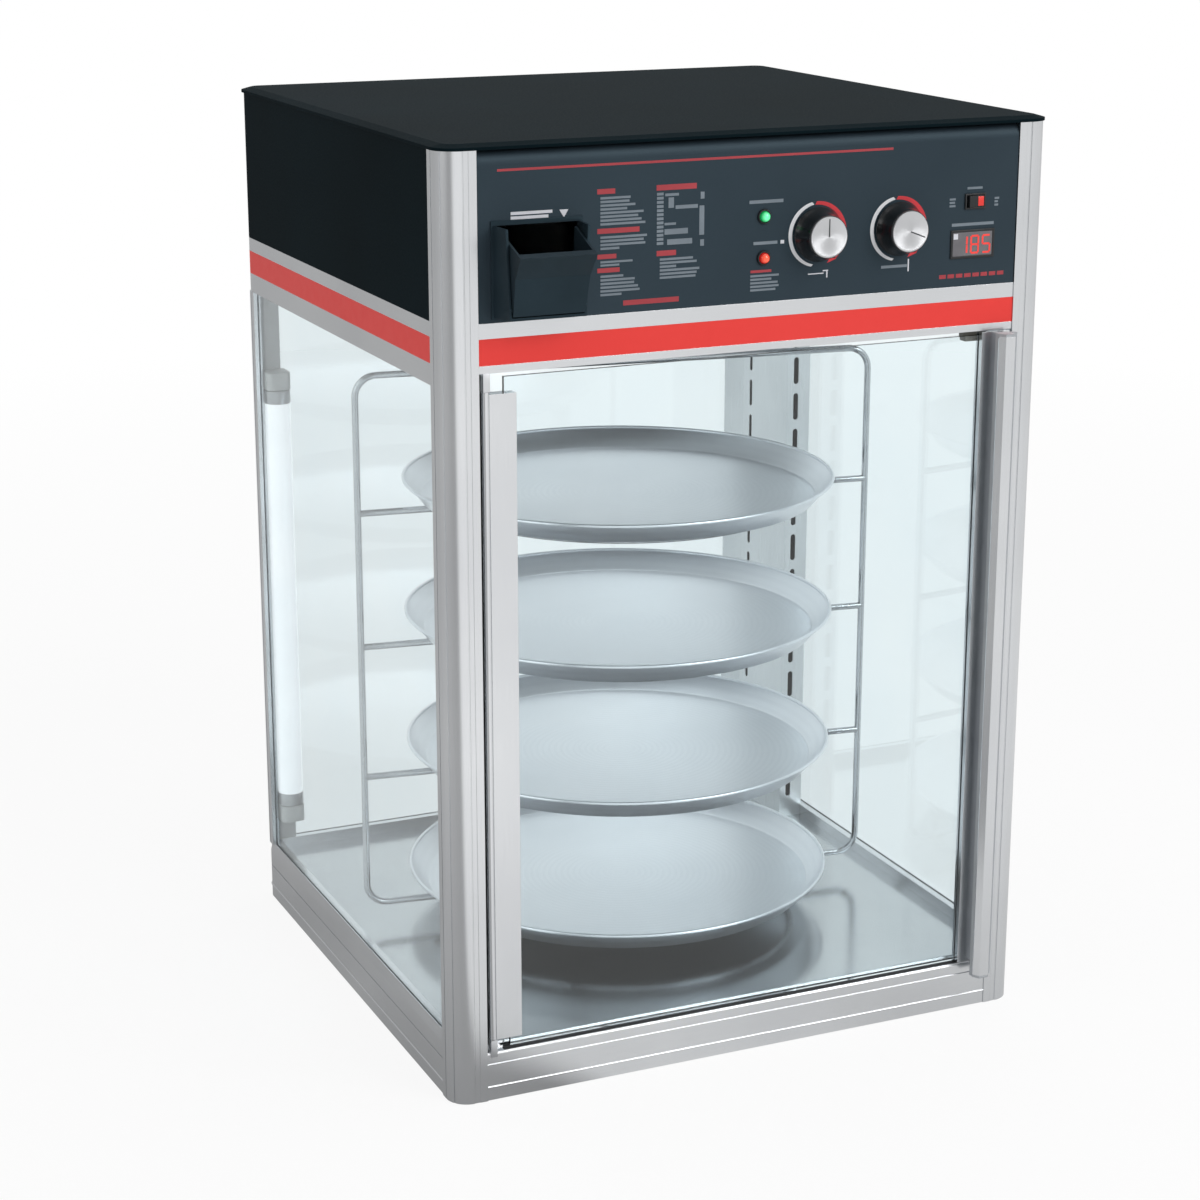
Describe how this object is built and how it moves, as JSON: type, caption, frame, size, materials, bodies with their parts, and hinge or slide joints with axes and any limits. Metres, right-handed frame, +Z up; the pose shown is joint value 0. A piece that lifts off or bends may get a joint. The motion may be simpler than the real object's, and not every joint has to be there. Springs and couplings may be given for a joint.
{
  "type": "humidified hot food display cabinet",
  "caption": "Counter cabinet with glass sides, a hinged glass door, a motor driven tiered round rack with pans, and a housing on top with knobs and a tilting fill hopper.",
  "frame": {"origin": "centre of the casing's footprint, on the underside of the base plate at counter level", "axes": "+Z up, -Y towards the door and the operator, +X to the right as seen from the front"},
  "size_m": [0.574, 0.613, 0.837],
  "materials": {
    "satin_aluminium": "satin anodised extrusion, fine lengthwise grain",
    "red_insert": "smooth red strip",
    "base_steel": "plain sheet",
    "stainless_sheet": "polished stainless sheet",
    "clear_glass": "clear tempered glass",
    "black_housing": "smooth satin black enamel",
    "lamp_white": "white coated tube",
    "white_plastic": "moulded",
    "lamp_reflector": "folded sheet",
    "motor_paint": "grey enamel",
    "turned_steel": "turned",
    "heater_sheath": "sheathed element",
    "galvanised_sheet": "folded sheet",
    "wheel_aluminium": "pressed",
    "control_body": "moulded",
    "green_lens": "moulded lens in a dark bezel",
    "red_lens": "moulded lens in a dark bezel",
    "catch_plastic": "moulded magnet case",
    "black_plastic": "fine grained moulding",
    "rack_chrome": "plated wire",
    "pan_aluminium": "spun sheet"
  },
  "bodies": {
    "casing": {"post_front_left": "satin_aluminium", "post_front_right": "satin_aluminium", "post_rear_left": "satin_aluminium", "post_rear_right": "satin_aluminium", "base_rail_front": "satin_aluminium", "base_rail_rear": "satin_aluminium", "base_rail_left": "satin_aluminium", "base_rail_right": "satin_aluminium", "upper_rail_front": "satin_aluminium", "upper_rail_rear": "satin_aluminium", "upper_rail_left": "satin_aluminium", "upper_rail_right": "satin_aluminium", "trim_bands": "red_insert", "base_plate": "base_steel", "floor_pan": "stainless_sheet", "glass_left": "clear_glass", "glass_right": "clear_glass", "glass_rear": "clear_glass", "top_cover": "black_housing", "side_panels": "black_housing", "rear_panel": "black_housing", "control_panel": "black_housing", "chamber_ceiling": "stainless_sheet", "air_duct": "stainless_sheet", "lamp_tube": "lamp_white", "lamp_holders": "white_plastic", "lamp_channel": "lamp_reflector", "rack_motor": "motor_paint", "pivot_post": "turned_steel", "water_tank": "stainless_sheet", "tank_heater": "heater_sheath", "blower_housing": "galvanised_sheet", "air_heater": "heater_sheath", "thermostat_bodies": "control_body", "switch_housing": "control_body", "display_module": "control_body", "cord_gland": "control_body", "indicator_power": "green_lens", "indicator_water": "red_lens", "panel_screws": "turned_steel", "hinge_blocks": "turned_steel", "door_catch": "catch_plastic", "fill_pocket": "black_plastic"},
    "door": {"door_glass": "clear_glass", "hinge_stile": "satin_aluminium", "handle_stile": "satin_aluminium", "door_handle": "satin_aluminium", "handle_core": "black_plastic"},
    "rack": {"rack_frame": "rack_chrome", "rack_rings": "rack_chrome", "pan_tier_1": "pan_aluminium", "pan_tier_2": "pan_aluminium", "pan_tier_3": "pan_aluminium", "pan_tier_4": "pan_aluminium", "drive_coupling": "turned_steel"},
    "hopper": {"fill_hopper": "black_plastic"},
    "temperature_dial": {"temperature_knob": "black_plastic"},
    "humidity_dial": {"humidity_knob": "black_plastic"},
    "rocker": {"light_rocker": "black_plastic"},
    "fan": {"blower_wheel": "wheel_aluminium"}
  },
  "joints": [
    {"name": "door_hinge", "type": "hinge", "parent": "casing", "child": "door", "pos_m": [-0.2475, -0.2713, 0.345], "axis": [0, 0, -1], "range_deg": [0, 105]},
    {"name": "rack_spin", "type": "hinge", "parent": "casing", "child": "rack", "pos_m": [-0.004, 0, 0.071], "axis": [0, 0, 1], "continuous": true},
    {"name": "fill_hopper_tilt", "type": "hinge", "parent": "casing", "child": "hopper", "pos_m": [-0.202, -0.297, 0.706], "axis": [1, 0, 0], "range_deg": [-22, 0]},
    {"name": "temperature_knob_turn", "type": "hinge", "parent": "casing", "child": "temperature_dial", "pos_m": [0.0565, -0.275, 0.7465], "axis": [0, 1, 0], "range_deg": [-150, 150]},
    {"name": "humidity_knob_turn", "type": "hinge", "parent": "casing", "child": "humidity_dial", "pos_m": [0.1355, -0.275, 0.7465], "axis": [0, 1, 0], "range_deg": [-261, 39]},
    {"name": "light_rocker_tilt", "type": "hinge", "parent": "casing", "child": "rocker", "pos_m": [0.211, -0.274, 0.766], "axis": [0, 0, 1], "range_deg": [-14, 0]},
    {"name": "blower_spin", "type": "hinge", "parent": "casing", "child": "fan", "pos_m": [0.15, 0.182, 0.68], "axis": [0, 0, 1], "continuous": true}
  ]
}
